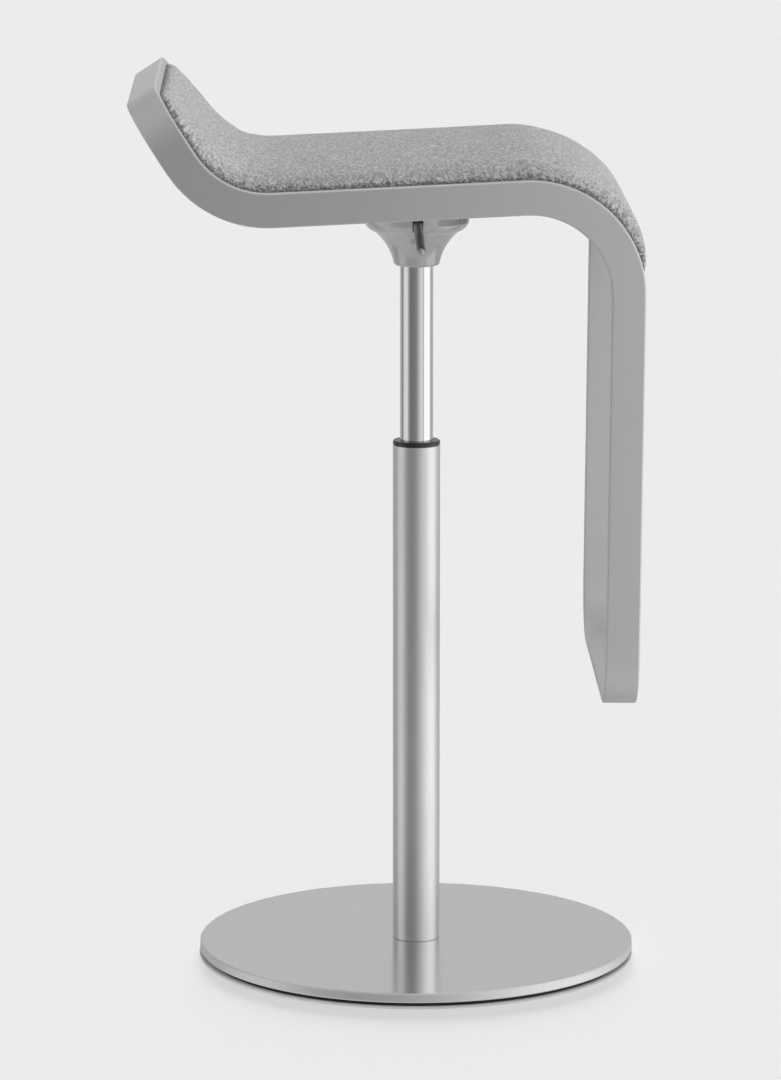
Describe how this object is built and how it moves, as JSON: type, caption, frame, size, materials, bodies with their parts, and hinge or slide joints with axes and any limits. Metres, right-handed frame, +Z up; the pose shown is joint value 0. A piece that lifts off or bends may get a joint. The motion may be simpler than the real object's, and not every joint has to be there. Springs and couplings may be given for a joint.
{
  "type": "bar stool",
  "caption": "Height-adjustable swivel bar stool: round steel foot, gas-lift column, and an upholstered seat inside one bent strap loop that also forms the footrest.",
  "frame": {"origin": "middle of the floor pad's underside, on the floor under the column", "axes": "+Z up along the column, +X to the front where the footrest hangs, Y across the seat"},
  "size_m": [0.4227, 0.37, 0.7546],
  "materials": {
    "floor_rubber": "matt black pad",
    "brushed_stainless": "brushed satin",
    "strap_satin": "fine bead-blasted satin",
    "chrome": "polished",
    "bush_plastic": "black moulded",
    "hub_cast": "cast, satin grey lacquer",
    "zinc_steel": "zinc plated",
    "black_steel": "black powder coat",
    "stop_plastic": "natural nylon",
    "rubber": "black",
    "plywood": "grey stain under clear lacquer",
    "foam": "upholstery foam",
    "felt": "grey melange felt"
  },
  "bodies": {
    "base": {"floor_pad": "floor_rubber", "base_disc": "brushed_stainless", "column_plug": "zinc_steel", "base_screws": "zinc_steel", "column_tube": "brushed_stainless", "guide_bush": "bush_plastic", "bearing_washer_lower": "zinc_steel"},
    "swivel": {"bearing_washer_upper": "zinc_steel", "bearing_cage": "stop_plastic", "bearing_balls": "chrome", "piston_rod": "chrome", "clip_washer": "zinc_steel", "rod_clip": "black_steel", "stop_sleeve": "stop_plastic", "bump_stop": "rubber", "piston": "stop_plastic"},
    "lift": {"gas_cylinder": "chrome", "rod_guide": "zinc_steel", "rod_seal": "rubber", "valve_block": "zinc_steel", "hub": "hub_cast", "lever_pin": "zinc_steel", "seat_frame": "strap_satin", "seat_plate": "strap_satin", "hub_screws": "zinc_steel", "cross_bar_front": "strap_satin", "cross_bar_rear": "strap_satin", "seat_bolts": "zinc_steel", "tee_nuts": "zinc_steel", "seat_shell": "plywood", "seat_foam": "foam", "seat_cover": "felt"},
    "lever": {"lever": "chrome"},
    "button": {"release_button": "zinc_steel"}
  },
  "joints": [
    {"name": "seat_swivel", "type": "hinge", "parent": "base", "child": "swivel", "pos_m": [0, 0, 0.035], "axis": [0, 0, 1], "continuous": true},
    {"name": "seat_lift", "type": "slide", "parent": "swivel", "child": "lift", "axis": [0, 0, 1], "range_m": [-0.12, 0]},
    {"name": "lever_pull", "type": "hinge", "parent": "lift", "child": "lever", "pos_m": [0, -0.024, 0.6315], "axis": [-1, 0, 0], "range_deg": [0, 6], "stiffness_Nm_per_rad": 2, "springref_deg": -5.73},
    {"name": "valve_press", "type": "slide", "parent": "lift", "child": "button", "axis": [0, 0, -1], "range_m": [0, 0.0026]}
  ],
  "couplings": [
    {"joint": "valve_press", "follows": "lever_pull", "m_per_rad": 0.024}
  ]
}
